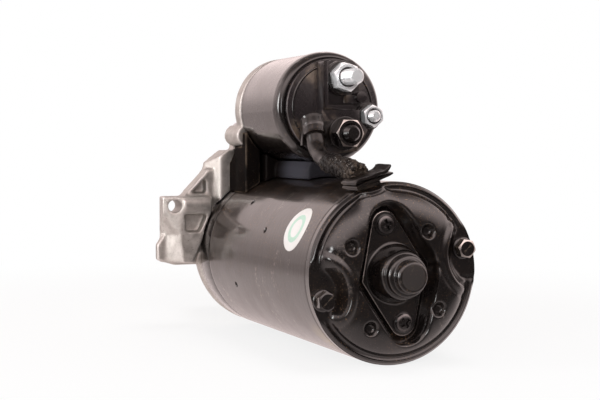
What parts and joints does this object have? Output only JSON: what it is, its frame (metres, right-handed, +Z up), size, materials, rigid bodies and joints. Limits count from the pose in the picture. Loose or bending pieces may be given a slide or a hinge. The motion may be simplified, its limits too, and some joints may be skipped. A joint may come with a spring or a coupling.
{
  "type": "starter motor",
  "caption": "Car starter motor: black drum motor with planetary reduction, solenoid on top, cast nose with mounting ears, sliding one-way-clutch pinion and a bolted motor lead.",
  "frame": {"origin": "on the motor axis at the mounting flange face", "axes": "+Y along the motor axis towards the pinion, +Z up to the solenoid"},
  "size_m": [0.1296, 0.2521, 0.1489],
  "materials": {
    "black_enamel": "gloss black paint over steel, lightly dusty",
    "cast_aluminium": "bare die-cast, sand-grey and slightly rough",
    "zinc_steel": "bright zinc plated",
    "steel": "machined steel",
    "dark_steel": "dark oiled steel",
    "copper": "copper",
    "bronze": "sintered bronze",
    "black_plastic": "black moulded resin",
    "resin": "pale moulded resin",
    "brown_resin": "laminated resin",
    "black_rubber": "soft black rubber",
    "ferrite": "dark ferrite",
    "carbon": "carbon",
    "braid": "woven copper lead under black paint"
  },
  "bodies": {
    "case": {"yoke": "black_enamel", "magnets": "ferrite", "rear_cover": "black_enamel", "end_cap": "black_enamel", "cap_screws": "black_enamel", "through_bolts": "dark_steel", "rear_bush": "bronze", "brush_plate": "brown_resin", "brush_boxes": "bronze", "brush_springs": "steel", "gear_case": "black_enamel", "gear_partition": "steel", "ring_gear": "dark_steel", "intermediate_plate": "steel", "intermediate_bush": "bronze", "drive_housing": "cast_aluminium", "nose_bush": "bronze", "lever_pin": "steel", "lever_seal": "black_rubber", "solenoid_flange": "black_enamel", "solenoid_can": "black_enamel", "coil_bobbin": "resin", "coil_winding": "copper", "solenoid_core": "steel", "return_spring": "steel", "solenoid_cap": "black_plastic", "solenoid_screws": "steel", "battery_stud": "zinc_steel", "motor_stud": "black_enamel", "trigger_stud": "zinc_steel", "terminal_nuts": "zinc_steel", "motor_nut": "black_enamel", "terminal_washers": "dark_steel", "lead_lug": "black_enamel", "motor_lead": "braid", "lead_grommet": "black_rubber"},
    "armature": {"armature_shaft": "steel", "lamination_stack": "dark_steel", "armature_winding": "copper", "commutator": "copper", "shaft_clip": "dark_steel"},
    "output": {"drive_shaft": "steel", "planet_pins": "steel", "stop_collar": "steel", "snap_ring": "dark_steel"},
    "planet_1": {"planet_1": "steel"},
    "planet_2": {"planet_2": "steel"},
    "planet_3": {"planet_3": "steel"},
    "clutch": {"clutch_shell": "steel", "clutch_rollers": "steel", "guide_ring": "brown_resin"},
    "pinion": {"pinion": "steel"},
    "fork_lever": {"fork_lever": "resin"},
    "plunger": {"plunger": "steel"},
    "contact_bridge": {"contact_bridge": "copper"},
    "brush_1": {"brush_1": "carbon"},
    "brush_2": {"brush_2": "carbon"},
    "brush_3": {"brush_3": "carbon"},
    "brush_4": {"brush_4": "carbon"}
  },
  "joints": [
    {"name": "armature_spin", "type": "hinge", "parent": "case", "child": "armature", "pos_m": [0, 0, 0], "axis": [0, 1, 0], "continuous": true},
    {"name": "shaft_spin", "type": "hinge", "parent": "case", "child": "output", "pos_m": [0, 0, 0], "axis": [0, 1, 0], "continuous": true},
    {"name": "planet_1_spin", "type": "hinge", "parent": "output", "child": "planet_1", "pos_m": [0, 0, 0.018], "axis": [0, 1, 0], "continuous": true},
    {"name": "planet_2_spin", "type": "hinge", "parent": "output", "child": "planet_2", "pos_m": [-0.01559, 0, -0.009], "axis": [0, 1, 0], "continuous": true},
    {"name": "planet_3_spin", "type": "hinge", "parent": "output", "child": "planet_3", "pos_m": [0.01559, 0, -0.009], "axis": [0, 1, 0], "continuous": true},
    {"name": "plunger_slide", "type": "slide", "parent": "case", "child": "plunger", "axis": [0, -1, 0], "range_m": [0, 0.0074], "stiffness_N_per_m": 600, "springref_m": -0.008, "deforming": ["return_spring"]},
    {"name": "lever_pivot", "type": "hinge", "parent": "case", "child": "fork_lever", "pos_m": [0, -0.0195, 0.049], "axis": [1, 0, 0], "range_deg": [0, 15]},
    {"name": "clutch_slide", "type": "slide", "parent": "output", "child": "clutch", "axis": [0, 1, 0], "range_m": [0, 0.01175]},
    {"name": "contact_slide", "type": "slide", "parent": "case", "child": "contact_bridge", "axis": [0, -1, 0], "range_m": [0, 0.0035]},
    {"name": "pinion_overrun", "type": "hinge", "parent": "clutch", "child": "pinion", "pos_m": [0, 0, 0], "axis": [0, 1, 0], "continuous": true},
    {"name": "brush_1_slide", "type": "slide", "parent": "case", "child": "brush_1", "axis": [0.4695, 0, 0.8829], "range_m": [0, 0.0025], "stiffness_N_per_m": 400, "springref_m": -0.006, "deforming": ["brush_springs"]},
    {"name": "brush_2_slide", "type": "slide", "parent": "case", "child": "brush_2", "axis": [-0.8829, 0, 0.4695], "range_m": [0, 0.0025], "stiffness_N_per_m": 400, "springref_m": -0.006, "deforming": ["brush_springs"]},
    {"name": "brush_3_slide", "type": "slide", "parent": "case", "child": "brush_3", "axis": [-0.4695, 0, -0.8829], "range_m": [0, 0.0025], "stiffness_N_per_m": 400, "springref_m": -0.006, "deforming": ["brush_springs"]},
    {"name": "brush_4_slide", "type": "slide", "parent": "case", "child": "brush_4", "axis": [0.8829, 0, -0.4695], "range_m": [0, 0.0025], "stiffness_N_per_m": 400, "springref_m": -0.006, "deforming": ["brush_springs"]}
  ],
  "couplings": [
    {"joint": "shaft_spin", "follows": "armature_spin", "ratio": 0.22917},
    {"joint": "planet_1_spin", "follows": "armature_spin", "ratio": -0.65224},
    {"joint": "planet_2_spin", "follows": "armature_spin", "ratio": -0.65224},
    {"joint": "planet_3_spin", "follows": "armature_spin", "ratio": -0.65224},
    {"joint": "lever_pivot", "follows": "plunger_slide", "rad_per_m": 35.29},
    {"joint": "clutch_slide", "follows": "plunger_slide", "ratio": 1.5822},
    {"joint": "contact_slide", "follows": "plunger_slide", "ratio": 0.46}
  ]
}
